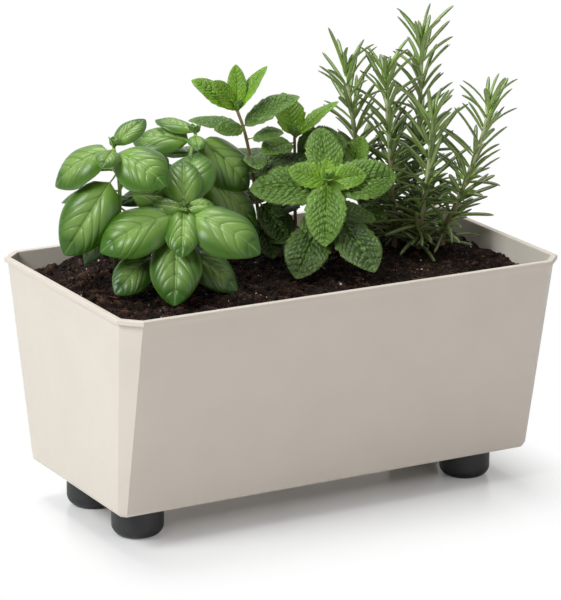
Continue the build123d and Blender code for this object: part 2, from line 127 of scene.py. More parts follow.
# Each stem's points, from just above the soil to its top: x, y and height over the soil
STEMS = {
    "basil_front": [(-98, 12, 12), (-88, -15, 62)],
    "basil_left": [(-122, 28, 12), (-119, 22, 74), (-126, 20, 103)],
    "basil_back": [(-76, 36, 12), (-48, 43, 100)],
    "mint_tall": [(8, 44, 12), (-8, 37, 93), (-18, 35, 116)],
    "mint_back": [(34, 40, 12), (29, 33, 91)],
    "mint_front": [(36, 4, 12), (32, -10, 66)],
    "mint_right": [(64, 30, 12), (69, 20, 62)],
    "rosemary_left": [(100, 52, 12), (87, 44, 90), (71, 38, 150)],
    "rosemary_middle": [(112, 26, 12), (104, 22, 80), (96, 18, 150)],
    "rosemary_tall": [(134, 38, 12), (133, 26, 97), (131, 22, 173)],
    "rosemary_front": [(122, 8, 12), (123, -3, 56), (122, -12, 118)],
    "rosemary_right": [(140, 4, 12), (145, -12, 40), (156, -30, 96), (156, -37, 130)],
}

# Each leaf: height on its stem, heading (0 right, 90 back), rise, petiole, length, width, droop
# and how far its face is rolled to its left
LEAVES = {
    "basil_front": [
        (63, 158, 20, 0.5, 22, 15, 40, 40),
        (63, -36, 20, 0.5, 22, 15, 40, -40),
        (61, -118, -15, 0.5, 43, 27, 50, 0),
        (62, -119, 26, 0.3, 10, 8, 40, 0),
        (62, 61, 64, 2, 41, 27, 46, 0),
        (56, 50, 52, 9, 57, 39, 48, 0),
        (58, 188, 0, 9, 60, 42, 62, 34),
        (58, -66, 0, 9, 60, 42, 60, -34),
        (50, -119, -30, 10, 58, 38, 42, 0),
        (28, 205, -10, 14, 42, 28, 46, 28),
        (34, -56, -16, 16, 48, 30, 46, -30),
        (44, 105, 4, 9, 42, 29, 50, 0),
        (34, 20, 4, 10, 38, 27, 48, 0),
        (48, 150, 8, 8, 46, 32, 46, 18),
    ],
    "basil_left": [
        (103, 14, 40, 3, 33, 18, 30, -20),
        (102, 158, -10, 4, 50, 36, 58, 28),
        (99, -76, 2, 4, 47, 38, 58, -32),
        (101, 232, 10, 3, 28, 18, 48, 12),
        (86, 200, -40, 11, 64, 39, 52, 38),
        (57, 168, -46, 9, 40, 24, 30, 30),
        (84, 102, 10, 8, 44, 31, 50, 0),
        (70, 128, 5, 9, 42, 29, 50, 0),
        (50, 112, 10, 10, 40, 28, 45, 0),
        (66, -24, 4, 8, 40, 27, 44, -56),
        (72, 40, 38, 8, 44, 30, 40, -24),
        (74, 0, 24, 10, 38, 26, 40, -60),
        (58, -70, -14, 8, 36, 24, 46, -40),
    ],
    "basil_back": [
        (94, 146, 18, 4, 44, 33, 48, 30),
        (100, 128, 30, 3, 32, 21, 40, 14),
        (96, -45, -22, 4, 53, 38, 56, -32),
        (95, -26, -10, 6, 29, 20, 45, -24),
        (76, -44, -26, 12, 58, 38, 52, -34),
        (84, 75, 8, 8, 46, 32, 52, 0),
        (76, 140, 4, 10, 42, 29, 50, 0),
        (52, 60, 6, 10, 42, 30, 48, 0),
        (40, -20, 4, 8, 36, 26, 45, -10),
        (62, 185, 10, 9, 44, 30, 46, 10),
        (58, 8, 6, 8, 42, 28, 50, -16),
        (99, -112, 4, 2, 20, 14, 44, 0),
    ],
    "mint_tall": [
        (115, 151, 43, 3, 38, 22, 20, 30),
        (116, 61, 74, 3, 31, 14, 12, 0),
        (115, -5, 62, 2, 38, 15, 20, -10),
        (116, 178, 58, 1, 28, 18, 26, 56),
        (103, -35, 42, 1.5, 46, 21, 34, -40),
        (101, 175, 8, 1, 22, 15, 20, 40),
        (100, 140, 17, 1, 42, 16, 20, 20),
        (93, -50, 20, 4, 24, 18, 22, -26),
        (72, 65, 16, 4, 40, 23, 28, 0),
        (80, -105, 6, 4, 26, 18, 30, 0),
        (48, 140, 8, 5, 36, 22, 30, 0),
        (48, -40, 8, 5, 34, 22, 30, -10),
        (74, -30, 10, 5, 38, 24, 28, -24),
        (58, 60, 12, 5, 36, 23, 28, 0),
        (36, -92, -40, 6, 34, 24, 26, -10),
        (46, -66, -36, 6, 36, 26, 28, -24),
        (60, -58, 0, 6, 36, 24, 32, -16),
    ],
    "mint_back": [
        (90, 88, 66, 3, 34, 25, 20, 0),
        (90, -5, 44, 3, 41, 16, 20, -10),
        (87, 198, 6, 4, 30, 20, 22, 26),
        (78, -30, 20, 2, 38, 31, 26, -60),
        (65, 95, 18, 5, 38, 24, 26, 0),
        (64, -100, 4, 5, 32, 22, 30, 0),
        (40, 40, 8, 5, 36, 22, 28, 0),
        (40, 220, 8, 5, 32, 21, 28, 0),
        (71, 190, 10, 6, 38, 24, 28, 26),
        (72, -35, 12, 6, 38, 24, 28, -28),
        (54, -74, 6, 6, 36, 24, 32, -12),
        (48, 165, 4, 6, 38, 24, 30, 18),
    ],
    "mint_front": [
        (65, 68, 56, 3, 46, 28, 25, 0),
        (61, 167, 8, 4, 53, 33, 28, 48),
        (61, -25, 14, 5, 49, 33, 28, -48),
        (65, -121, -34, 0.5, 51, 30, 34, 0),
        (66, 154, 24, 1, 29, 21, 24, 56),
        (66, -28, 18, 1, 29, 21, 24, -46),
        (66, -112, 30, 1, 14, 10, 24, 0),
        (66, 62, 60, 1, 19, 13, 20, 0),
        (38, -138, -20, 14, 50, 33, 34, 12),
        (40, -80, -16, 14, 52, 34, 36, -12),
        (46, 212, -24, 5, 28, 18, 30, 14),
        (40, -14, 2, 6, 36, 24, 30, -30),
        (20, 152, 8, 5, 34, 22, 30, 14),
        (22, -5, 8, 5, 30, 20, 30, -20),
    ],
    "mint_right": [
        (61, 25, 66, 3, 28, 21, 20, -10),
        (60, -60, 24, 4, 24, 17, 24, -10),
        (60, 125, 20, 4, 30, 20, 25, 0),
        (38, 85, 12, 5, 36, 22, 28, 0),
        (30, -40, 6, 5, 30, 20, 28, -20),
        (48, -10, 12, 5, 34, 22, 28, -20),
        (46, 170, 8, 5, 32, 22, 28, 16),
    ],
}

# Each herb's blade: pairs of veins, points from vein to vein and across, and the veins' sweep and
# arch to the tip. Shoulder, base, fall and point shape the outline. Bulge, crease, quilt, swell,
# groove, margin and wave are heights on a leaf of the usual width. Cells swell between the veins,
# dome bends the blade across, keel raises its halves, and tooth is a share of its half width.
BLADES = {
    "basil": dict(
        veins=5, rows=12, columns=30, sweep=0.74, arch=1.25,
        shoulder=0.48, base=0.5, fall=2.1, point=0.75,
        bulge=1.7, crease=0.4, quilt=0.36, cells=0, swell=0.0,
        groove=0.9, margin=1.8, wave=0.8, dome=1.1, keel=0.0,
        tooth=0.0, thickness=0.5, rib=0.7,
    ),
    "mint": dict(
        veins=9, rows=8, columns=44, sweep=0.46, arch=1.15,
        shoulder=0.45, base=0.58, fall=2.1, point=0.76,
        bulge=0.7, crease=0.8, quilt=0.0, cells=6.0, swell=1.25,
        groove=1.0, margin=0.8, wave=1.1, dome=0.6, keel=0.16,
        tooth=0.15, thickness=0.4, rib=0.6,
    ),
}

# What all blades share. Points crowd to the midrib, and the least half width shrinks to the tip.
USUAL_WIDTH = 36
CROWDING = 1.35
LEAD_START = 0.2
LEAST_HALF = 0.35
LEAST_LOSS = 0.25
CREASE_WIDTH = 0.07
MIDRIB_HALF = 0.6
WAVES = 1.6
WAVE_SHIFT = 1.3
TWIST = 9
SWAY = 0.05
CELL_JITTER = (0.2, 0.42)
CELL_EDGE = (-0.1, 0.7)

# How young leaves look: by sprig, by length, by depth under the top and by place along the blade.
# mint_back's share also stands for light coming through its leaves, as painted light
YOUNG_AND_LIT_TOPS = {"mint_tall": 0.85, "mint_back": 0.9, "mint_right": 0.6}
GROWN_LENGTHS = (20, 42)
GROWN_LOSS = 0.75
TOP_DEPTH = (0.5, 6)
OUTER_START = 0.6
OUTER_LOSS = 0.8
OUTER_YOUTH = 0.5

# A leaf's tone: by chance, and by its height on the sprig, lower leaves darker for their age and as
# painted shade
TONE_CHANCE = 0.35
TONE_BY_HEIGHT_AND_SHADE = 0.65
TONE_RANGE = (0.45, 1.0)

# Unopened leaves at a sprig's top: number, length and width, and ranges of turn, rise and size
BUDS = {"basil": (4, 9.0, 6.0), "mint": (5, 11.0, 7.5)}
BUD_ROWS = dict(veins=4, rows=4, columns=10, cells=0)
BUD_RANGES = [(-20, 20), (60, 82), (0.7, 1.1)]
BUD_PETIOLE = 0.4
BUD_DROOP = 24

# Stems: radius at the soil and at the top, how far they turn to their upper colour, and their nodes
STEM_RADII = {"basil": (1.9, 1.3), "mint": (1.6, 1.1), "rosemary": (2.4, 1.6)}
STEM_GREEN = {"basil": 1.0, "mint": 0.45, "rosemary": 1.0}
STEM_ROOT = 14
STEM_SIDES = 8
NODE_SWELL = 0.06
NODE_WAVE = 40

# Leaf stalks, which reach inside the blade and have their full radius on a full leaf
PETIOLE_RADIUS = 0.8
PETIOLE_TAPER = 0.7
PETIOLE_SAG = 0.08
PETIOLE_INSIDE = 1.5
PETIOLE_SINK = 0.3
PETIOLE_SIDES = 6
FULL_LEAF = 34

# Whorls of needles: the step and turn from one to the next, and how steeply they rise
WHORL_STEP = 9.5
WHORL_NEEDLES = 5
WHORL_TURN = 137.0
OPENING_WHORLS = 3
FIRST_NEEDLES = 8.0
NEEDLE_RISE = 40
RISE_UP_STEM = 18
RISE_AT_TIP = 9

# Needles: width and lengths, and the ranges of a needle's turn, stretch, lift, place, tone and droop
NEEDLE_WIDTH = 3.3
NEEDLE_LENGTHS = (31.0, 38.0, 34.0, 40.0, 28.0)
TOP_NEEDLE = 35.0
TOP_DROP = 18.0
NEEDLE_RANGES = [(-20, 20), (0.84, 1.1), (-12, 10), (-1.8, 1.8), (0, 1), (14, 42)]
NEEDLE_ROLL = 60
NEEDLE_SWAY = 0.06
WIDTH_RANGE = (0.88, 1.1)

# The short tuft at a sprig's tip, with the ranges of rise, length and droop
TUFT_NEEDLES = 3
TUFT_START = 40
TUFT_TONE = 0.8
TUFT_RANGES = [(78, 88), (12, 19), (6, 14)]

# Needles low on the stem, with the ranges of rise, heading, length, droop and tone, their tone kept low
# for their age and as painted shade
LOW_NEEDLES = 46
LOW_START = 4
LOW_SHARE = 0.5
LOW_LIFT = 24
LOW_RANGES = [(-12, 34), (0, 360), (22, 34), (14, 40), (0.0, 0.8)]

# A needle's foot as a share of its width, its swell from there, and its rounded tip
NEEDLE_FOOT = 0.42
NEEDLE_SWELL = 0.58
TIP_START = 0.74
TIP_LENGTH = 0.262

# A needle's rings along it, and a ring's points: across and out as shares of the half width, on the
# underside and on the pale line, which is partly a painted highlight
NEEDLE_RINGS = np.array([0, 0.08, 0.22, 0.42, 0.62, 0.78, 0.9, 0.97, 1])
NEEDLE_ACROSS = np.array([-1, -0.62, 0, 0.62, 1, 0.62, 0, -0.62])
NEEDLE_OUT = np.array([0, 0.5, 0.34, 0.5, 0, -0.36, -0.16, -0.36])
NEEDLE_UNDER = np.array([0.3, 0, 0, 0, 0.3, 1, 1, 1])
NEEDLE_LINE_AND_SHEEN = np.array([0, 0, 1, 0, 0, 0, 1, 0])

# Materials: where most of a noise lies, and the light that leaves let through
NOISE_RANGE = (0.3, 0.7)
LEAF_GLOW = {"Subsurface Weight": 0.06, "Subsurface Radius": (0.5, 1.0, 0.2)}

# A direction that no stem or stalk follows
ODD_WAY = (0.31, 0.94, 0.12)


def srgb(red, green, blue):
    """A colour as it is seen, 0 to 255, in the linear values that shaders take."""
    shares = [part / 255 for part in (red, green, blue)]
    linear = [s / 12.92 if s <= 0.04045 else ((s + 0.055) / 1.055) ** 2.4 for s in shares]
    return (*linear, 1.0)


def unit(vector):
    return vector / np.linalg.norm(vector)


def draws(rng, ranges):
    """A random number in each range, in order."""
    return [rng.uniform(low, high) for low, high in ranges]


def ease(value, low, high):
    """0 below low, 1 above high and smooth between."""
    share = np.clip((value - low) / (high - low), 0, 1)
    return share * share * (3 - 2 * share)


class Graph:
    """A tree of shader nodes, with short ways to add to it."""

    def __init__(self, tree):
        self.nodes = tree.nodes
        self.links = tree.links

    def node(self, kind, inputs, **settings):
        node = self.nodes.new(kind)
        for key, value in settings.items():
            setattr(node, key, value)
        for key, value in inputs.items():
            self.feed(node.inputs[key], value)
        return node

    def feed(self, socket, value):
        if isinstance(value, bpy.types.NodeSocket):
            self.links.new(value, socket)
        else:
            socket.default_value = value

    def span(self, value, low, high, new_low=0.0, new_high=1.0):
        """The value, moved from one range to another."""
        inputs = {"Value": value, "From Min": low, "From Max": high}
        inputs.update({"To Min": new_low, "To Max": new_high})
        return self.node("ShaderNodeMapRange", inputs).outputs["Result"]

    def math(self, operation, first, second):
        return self.node("ShaderNodeMath", {0: first, 1: second}, operation=operation).outputs[0]


class Finish(Graph):
    """A Principled material and the nodes that feed it."""

    def __init__(self, name, fixed):
        self.material = bpy.data.materials.new(name)
        self.material.use_nodes = True
        super().__init__(self.material.node_tree)
        self.shader = self.nodes["Principled BSDF"]
        self.place = self.node("ShaderNodeTexCoord", {}).outputs["Object"]
        for socket, value in fixed.items():
            self.shader.inputs[socket].default_value = value

    def value(self, name):
        """A point value of the mesh."""
        return self.node("ShaderNodeAttribute", {}, attribute_name=name).outputs["Fac"]

    def noise(self, scale, detail):
        inputs = {"Vector": self.place, "Scale": scale, "Detail": detail}
        return self.node("ShaderNodeTexNoise", inputs).outputs["Fac"]

    def mottled(self, scale, detail, low, high):
        """A noise that goes from low to high."""
        return self.span(self.noise(scale, detail), *NOISE_RANGE, low, high)

    def vector(self, operation, first, second=(0.0, 0.0, 0.0)):
        node = self.node("ShaderNodeVectorMath", {0: first, 1: second}, operation=operation)
        return node.outputs["Vector"]

    def mix(self, share, first, second):
        inputs = {0: share, 6: first, 7: second}
        return self.node("ShaderNodeMix", inputs, data_type="RGBA").outputs[2]

    def marked(self, colour, *marks):
        """The colour, with a share of each mark's colour where its point value is high."""
        for name, share, mark in marks:
            colour = self.mix(self.math("MULTIPLY", self.value(name), share), colour, srgb(*mark))
        return colour

    def leaf_colour(self, tone, scale, detail, patches, dark, bright):
        """From dark to bright by each leaf's tone and by patches of noise."""
        share = self.math("MULTIPLY", self.value("tone"), tone)
        share = self.math("ADD", share, self.math("MULTIPLY", self.noise(scale, detail), patches))
        return self.mix(share, srgb(*dark), srgb(*bright))

    def colour(self, value):
        self.feed(self.shader.inputs["Base Color"], value)

    def roughness(self, value):
        self.feed(self.shader.inputs["Roughness"], value)

    def leaf_roughness(self, scale, low, high, under):
        """Mottled, and rougher on the underside."""
        rough = self.mottled(scale, 3.0, low, high)
        more = self.math("MULTIPLY", self.value("under"), under)
        self.roughness(self.math("ADD", rough, more))

    def bump(self, height, strength, distance):
        inputs = {"Height": height, "Strength": strength, "Distance": distance}
        node = self.node("ShaderNodeBump", inputs)
        self.feed(self.shader.inputs["Normal"], node.outputs["Normal"])


def put(name, data):
    """A new object in the scene."""
    item = bpy.data.objects.new(name, data)
    bpy.context.scene.collection.objects.link(item)
    return item


class Shape:
    """Points, faces and point values of one piece, gathered part by part in millimetres."""

    def __init__(self):
        self.points = []
        self.faces = []
        self.values = {}
        self.count = 0

    def add(self, points, faces, **values):
        self.points.append(points)
        self.faces.extend(block + self.count for block in faces)
        self.count += len(points)
        for name, value in values.items():
            self.values.setdefault(name, []).append(np.broadcast_to(value, len(points)))

    def make(self, name, material, slot, *replaced):
        mesh = bpy.data.meshes.new(name)
        faces = [face for block in self.faces for face in block.tolist()]
        mesh.from_pydata((np.concatenate(self.points) * MM).tolist(), [], faces)
        for key, columns in self.values.items():
            attribute = mesh.attributes.new(key, "FLOAT", "POINT")
            attribute.data.foreach_set("value", np.concatenate(columns).astype(np.float32))
        mesh.shade_smooth()
        mesh.materials.append(material)
        piece = put(name, mesh)
        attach(piece, BODY)
        if replaced:
            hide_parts(*replaced)


def grid_faces(rows, columns):
    """Faces of a grid of points, row by row, seen from its outer side."""
    corner = (np.arange(rows)[:, None] * (columns + 1) + np.arange(columns)).ravel()
    return np.stack([corner, corner + columns + 1, corner + columns + 2, corner + 1], axis=1)


def grid_edge(rows, columns):
    """The grid's outer points in order, anticlockwise seen from its outer side."""
    index = np.arange((rows + 1) * (columns + 1)).reshape(rows + 1, columns + 1)
    parts = [index[:-1, 0], index[-1, :-1], index[:0:-1, -1], index[0, :0:-1]]
    return np.concatenate(parts)


def slab_faces(rows, columns):
    """Faces of a closed slab: a top grid, an under grid and the band that joins their edges."""
    top = grid_faces(rows, columns)
    count = (rows + 1) * (columns + 1)
    edge = grid_edge(rows, columns)
    after = np.roll(edge, -1)
    band = np.stack([edge + count, after + count, after, edge], axis=1)
    return [top, top[:, ::-1] + count, band]


def ring_faces(rings, sides, clockwise=False):
    """Faces of a closed tube of rings, whose points go round it one way or the other."""
    ring = np.arange(sides)
    after = np.roll(ring, -1)
    last = (rings - 1) * sides
    walls = [np.stack([ring, after, after + sides, ring + sides], axis=1) + start
             for start in range(0, last, sides)]
    caps = [ring[None, ::-1], ring[None, :] + last]
    if clockwise:
        walls = [wall[:, [0, 3, 2, 1]] for wall in walls]
        caps = [cap[:, ::-1] for cap in caps]
    return walls + caps


def tube(points, radii, sides):
    """A closed tube along the points."""
    tangents = np.gradient(points, axis=0)
    tangents /= np.linalg.norm(tangents, axis=1)[:, None]
    across = np.cross(tangents[0], ODD_WAY)
    turns = np.arange(sides) * 2 * math.pi / sides
    rings = []
    for point, tangent, radius in zip(points, tangents, radii):
        across = unit(across - tangent * (across @ tangent))
        other = np.cross(tangent, across)
        ring = np.outer(np.cos(turns), across) + np.outer(np.sin(turns), other)
        rings.append(point + radius * ring)
    return np.concatenate(rings), ring_faces(len(points), sides)


def smooth_path(points, rounds=3):
    """The path with its corners cut off at a quarter of each side, again and again."""
    points = np.asarray(points, float)
    for _ in range(rounds):
        near = points[:-1] * 0.75 + points[1:] * 0.25
        far = points[:-1] * 0.25 + points[1:] * 0.75
        between = np.stack([near, far], axis=1).reshape(-1, 3)
        points = np.concatenate([points[:1], between[1:-1], points[-1:]])
    return points


def stem_knots(name):
    """The stem's points in the frame, from under the soil up."""
    knots = [(x, y, SOIL_TOP + height) for x, y, height in STEMS[name]]
    return np.array([(knots[0][0], knots[0][1], SOIL_TOP - STEM_ROOT)] + knots)


def stem_point(name, height):
    """The place on the stem at a height over the soil."""
    knots = stem_knots(name)
    level = SOIL_TOP + height
    return np.array([np.interp(level, knots[:, 2], knots[:, axis]) for axis in range(3)])


def add_stem(shape, name, drop=0.0):
    """The stem, up to a drop under its top."""
    herb = name.split("_")[0]
    path = smooth_path(stem_knots(name))
    path = path[path[:, 2] <= path[-1, 2] - drop]
    share = np.linspace(0, 1, len(path))
    thick, thin = STEM_RADII[herb]
    nodes = 1 + NODE_SWELL * np.sin(share * NODE_WAVE)
    points, faces = tube(path, (thick + (thin - thick) * share) * nodes, STEM_SIDES)
    shape.add(points, faces, up=np.repeat(STEM_GREEN[herb] * share, STEM_SIDES))


def bent(angle, radius, left, up):
    """Points of a strip that bends down along its length, row by row."""
    ahead = radius * np.sin(angle) + np.sin(angle) * up
    height = radius * (np.cos(angle) - 1) + np.cos(angle) * up
    return np.stack([ahead, left + 0 * angle, height], axis=-1).reshape(-1, 3)


def outline(share, style):
    """A blade's half width along it, as a share of the widest: round base, pointed tip."""
    shoulder = style["shoulder"]
    base = np.clip(1 - np.clip((shoulder - share) / shoulder, 0, 1) ** 2, 0, 1) ** style["base"]
    past = np.clip((share - shoulder) / (1 - shoulder), 0, 1)
    tip = np.clip(1 - past ** style["fall"], 0, 1) ** style["point"]
    return np.where(share < shoulder, base, tip)


def half_width(style, width, step, share, side):
    """A blade's half width at each point, toothed at the edge."""
    half = np.maximum(outline(share, style) * width / 2, LEAST_HALF - LEAST_LOSS * share)
    if style["tooth"]:
        pitch = style["rows"] // 2
        saw = (step % pitch) / pitch
        half = half * (1 + style["tooth"] * (saw - 0.3) * side ** 10)
    return half


def cobbles(strip, cell, rng):
    """Swollen cells in strips between veins: 1 in the middle of a cell, 0 where two meet."""
    strips = np.arange(math.floor(strip.min()), strip.max()) + 0.5
    cells = np.arange(math.floor(cell.min()) - 1, cell.max() + 1) + 0.5
    seeds = np.stack(np.meshgrid(strips, cells), axis=-1).reshape(-1, 2)
    seeds = seeds + rng.uniform(-1, 1, seeds.shape) * CELL_JITTER
    place = np.stack([strip + 0 * cell, cell + 0 * strip], axis=-1).reshape(-1, 1, 2)
    nearest = np.partition(np.linalg.norm(place - seeds, axis=2), 1, axis=1)
    apart = nearest[:, 1] - nearest[:, 0]
    return ease(apart, *CELL_EDGE).reshape(strip.shape[0], cell.shape[1])


def blade_grid(style):
    """Each point's row, its share of the length along the swept veins, and its place across."""
    rows = style["veins"] * style["rows"]
    step = np.arange(rows + 1)[:, None]
    along = step / rows
    even = np.linspace(-1, 1, style["columns"] + 1)[None, :]
    side = np.abs(even) ** CROWDING
    lead = side ** style["arch"] * np.clip(along / LEAD_START, 0, 1) * (1 - along)
    return step, along + style["sweep"] * lead, np.sign(even) * side


def blade_relief(style, size, step, share, across, rng):
    """Each point's lift, how deep it is in a vein's crease, and how far it is puffed up."""
    side = np.abs(across)
    between = (step % style["rows"]) / style["rows"]
    near = np.minimum(between, 1 - between)
    fade = (1 - side ** 3) * ease(share, 0, 0.14) * ease(1 - share, 0, 0.2)
    crease = np.exp(-(near / CREASE_WIDTH) ** 2) * fade
    lift = style["bulge"] * size * np.sin(np.pi * side ** 0.8)
    lift = lift * ease(share, 0, 0.3) * ease(1 - share, 0, 0.4)
    lift = lift - style["crease"] * size * crease
    lift = lift + style["quilt"] * size * np.sin(np.pi * between) * fade
    puff = np.ones_like(crease)
    if style["cells"]:
        puff = cobbles(step / style["rows"], across * style["cells"], rng)
        lift = lift + style["swell"] * size ** 2 * puff * fade
    return lift, crease, 1 - (1 - puff) * fade


def blade(style, length, width, droop, rng):
    """A leaf's points along, across and out of its base, upper side first, with point values."""
    size = width / USUAL_WIDTH
    step, share, across = blade_grid(style)
    side = np.abs(across)
    lift, crease, puff = blade_relief(style, size, step, share, across, rng)
    half = half_width(style, width, step, share, side)
    sideways = half * across
    middle = np.exp(-(sideways / (MIDRIB_HALF * math.sqrt(size))) ** 2)
    bend = math.radians(droop)
    radius = length / bend
    angle = bend * share
    phase = rng.uniform(0, 2 * math.pi)
    ripple = np.sin(2 * math.pi * WAVES * share + phase + (across > 0) * WAVE_SHIFT) * side ** 2
    out = lift + style["keel"] * np.abs(sideways)
    out = out - style["dome"] * sideways ** 2 / (2 * radius)
    out = out - style["margin"] * size * side ** 5 * np.clip(half / (width / 2), 0, 1)
    out = out - style["groove"] * size * middle * ease(1 - share, 0, 0.3)
    out = out + style["wave"] * size * ripple * half / (width / 2)
    twist = math.radians(rng.uniform(-TWIST, TWIST)) * share
    sway = rng.uniform(-SWAY, SWAY) * length * share ** 2
    left = sideways * np.cos(twist) - out * np.sin(twist) + sway
    top = bent(angle, radius, left, sideways * np.sin(twist) + out * np.cos(twist))
    thickness = style["thickness"] * (1 - 0.45 * side ** 6)
    thickness = thickness + style["rib"] * size * middle * (1 - share)
    drop = [np.sin(angle) * thickness, 0 * thickness, np.cos(angle) * thickness]
    under = top - np.stack(drop, axis=-1).reshape(-1, 3)
    values = {
        # The veins' creases: painted shade on basil, pale veins on mint
        "vein": crease,
        "midrib": middle * (1 - 0.85 * share ** 2),
        "puff": puff,
        "along": share,
        # A thin line at the margin, painted paler on basil as a highlight
        "edge": np.broadcast_to(side ** 12, share.shape),
        # Where the blade's rim and tip take painted shade and, away from them, a painted sheen
        "rim": np.maximum(side ** 2.4, ease(share, 0.6, 1.0)),
    }
    values = {name: np.tile(value.ravel(), 2) for name, value in values.items()}
    values["under"] = np.repeat([0.0, 1.0], len(top))
    return np.concatenate([top, under]), slab_faces(len(step) - 1, style["columns"]), values


def leaf_axes(heading, rise, roll):
    """Unit vectors along the leaf, to its left and out of its face."""
    turn, lift, tilt = (math.radians(angle) for angle in (heading, rise, roll))
    ahead = np.array([math.cos(turn), math.sin(turn), 0])
    up = np.array([0, 0, 1])
    along = math.cos(lift) * ahead + math.sin(lift) * up
    face = math.cos(lift) * up - math.sin(lift) * ahead
    face = face * math.cos(tilt) + np.cross(face, along) * math.sin(tilt)
    return along, np.cross(face, along), face


def leaf_youth(name, height, length, along, youth):
    """How young a leaf looks, from its base to its tip."""
    depth = STEMS[name][-1][2] - height
    small = 1 - GROWN_LOSS * ease(length, *GROWN_LENGTHS)
    young = max(youth, (1 - ease(depth, *TOP_DEPTH)) * max(small, YOUNG_AND_LIT_TOPS.get(name, 0)))
    inner = 1 - OUTER_LOSS * np.clip(along / OUTER_START, 0, 1)
    return young * (inner + (1 - inner) * young * OUTER_YOUTH)


def add_petiole(stems, foot, along, face, petiole, length):
    """A leaf's stalk, from the stem to a little way inside the blade."""
    reach = along * (petiole + PETIOLE_INSIDE)
    sag = np.array([0, 0, -PETIOLE_SAG * petiole])
    path = smooth_path([foot, foot + reach * 0.5 + sag, foot + reach - face * PETIOLE_SINK], 2)
    radii = np.linspace(PETIOLE_RADIUS, PETIOLE_RADIUS * PETIOLE_TAPER, len(path))
    points, faces = tube(path, radii * min(1.0, length / FULL_LEAF), PETIOLE_SIDES)
    stems.add(points, faces, up=1.0)


def add_leaf(leaves, stems, name, row, style, rng, youth=0.0):
    height, heading, rise, petiole, length, width, droop, roll = row
    along, left, face = leaf_axes(heading, rise, roll)
    foot = stem_point(name, height)
    points, faces, values = blade(style, length, width, droop, rng)
    placed = foot + along * petiole + points @ np.stack([along, left, face])
    young = leaf_youth(name, height, length, values["along"], youth)
    share = height / STEMS[name][-1][2]
    # Lower leaves are darker, for their age and as painted shade
    tone = TONE_CHANCE * rng.uniform(0, 1) + TONE_BY_HEIGHT_AND_SHADE * ease(share, *TONE_RANGE)
    leaves.add(placed, faces, young=young, tone=tone, **values)
    add_petiole(stems, foot, along, face, petiole, length)


def add_buds(leaves, stems, name, style, rng):
    """The unopened leaves at a sprig's top."""
    count, length, width = BUDS[name.split("_")[0]]
    top = STEMS[name][-1][2]
    for bud in range(count):
        turn, rise, size = draws(rng, BUD_RANGES)
        heading = bud * 360 / count + turn
        row = (top, heading, rise, BUD_PETIOLE, length * size, width * size, BUD_DROOP, 0)
        add_leaf(leaves, stems, name, row, {**style, **BUD_ROWS}, rng, youth=1.0)


def make_leafy(name, leaf_material, stem_material, rng):
    """A basil or mint sprig: its leaves, its unopened top and its stem."""
    herb = name.split("_")[0]
    leaves, stems = Shape(), Shape()
    add_stem(stems, name)
    for row in LEAVES[name]:
        add_leaf(leaves, stems, name, row, BLADES[herb], rng)
    add_buds(leaves, stems, name, BLADES[herb], rng)
    leaves.make(name + "_leaves", leaf_material, herb + "_leaf", name)
    stems.make(name + "_stem", stem_material, herb + "_leaf")


def add_needle(shape, base, heading, rise, length, droop, young, tone, rng):
    """A rosemary needle: narrow, with a grooved upper side, turned-down edges and a round tip."""
    along, left, face = leaf_axes(heading, rise, rng.uniform(-NEEDLE_ROLL, NEEDLE_ROLL))
    share = NEEDLE_RINGS[:, None]
    bend = math.radians(droop)
    grow = NEEDLE_FOOT + NEEDLE_SWELL * ease(share, 0, 0.3)
    tip = np.sqrt(np.clip(1 - (np.clip(share - TIP_START, 0, 1) / TIP_LENGTH) ** 2, 0, 1))
    half = NEEDLE_WIDTH / 2 * grow * tip * rng.uniform(*WIDTH_RANGE)
    sway = rng.uniform(-NEEDLE_SWAY, NEEDLE_SWAY) * length * share ** 2
    points = bent(bend * share, length / bend, half * NEEDLE_ACROSS + sway, half * NEEDLE_OUT)
    rings = len(NEEDLE_RINGS)
    sides = len(NEEDLE_ACROSS)
    shape.add(base + points @ np.stack([along, left, face]), ring_faces(rings, sides, clockwise=True),
              young=young, tone=tone, under=np.tile(NEEDLE_UNDER, rings),
              line=np.tile(NEEDLE_LINE_AND_SHEEN, rings), along=np.repeat(NEEDLE_RINGS, sides))


def add_whorls(needles, name, top, start, rng):
    """Whorls of needles down a sprig, steep at its tip and flatter below."""
    for whorl, height in enumerate(np.arange(top, FIRST_NEEDLES, -WHORL_STEP)):
        share = height / top
        opened = ease(whorl, 0, OPENING_WHORLS)
        rise = NEEDLE_RISE + RISE_UP_STEM * ease(share, 0.1, 0.7) + RISE_AT_TIP * (1 - opened)
        young = ease(share, 0.6, 1.0)
        for needle in range(WHORL_NEEDLES):
            turn, stretch, lift, place, tone, droop = draws(rng, NEEDLE_RANGES)
            heading = start + WHORL_TURN * whorl + 360 / WHORL_NEEDLES * needle + turn
            full = NEEDLE_LENGTHS[(whorl + needle) % len(NEEDLE_LENGTHS)]
            length = (TOP_NEEDLE + (full - TOP_NEEDLE) * opened) * stretch
            base = stem_point(name, height + place)
            # Lower whorls are darker, for their age and as painted shade
            tone *= 0.5 + 0.5 * share
            add_needle(needles, base, heading, rise + lift, length, droop, young, tone, rng)


def add_tuft(needles, name, top, start, rng):
    """Short needles that stand up at a sprig's tip."""
    for tuft in range(TUFT_NEEDLES):
        base = stem_point(name, top - 1)
        heading = start + TUFT_START + tuft * 120
        rise, length, droop = draws(rng, TUFT_RANGES)
        add_needle(needles, base, heading, rise, length, droop, 1.0, TUFT_TONE, rng)


def add_low_needles(needles, name, top, rng):
    """Old needles that stand out every way on the lower stem, darker for their age and as painted shade.
    """
    for _ in range(LOW_NEEDLES):
        height = rng.uniform(LOW_START, LOW_SHARE * top)
        rise, heading, length, droop, tone = draws(rng, LOW_RANGES)
        rise += LOW_LIFT * ease(height, 10, 60)
        add_needle(needles, stem_point(name, height), heading, rise, length, droop, 0.0, tone, rng)


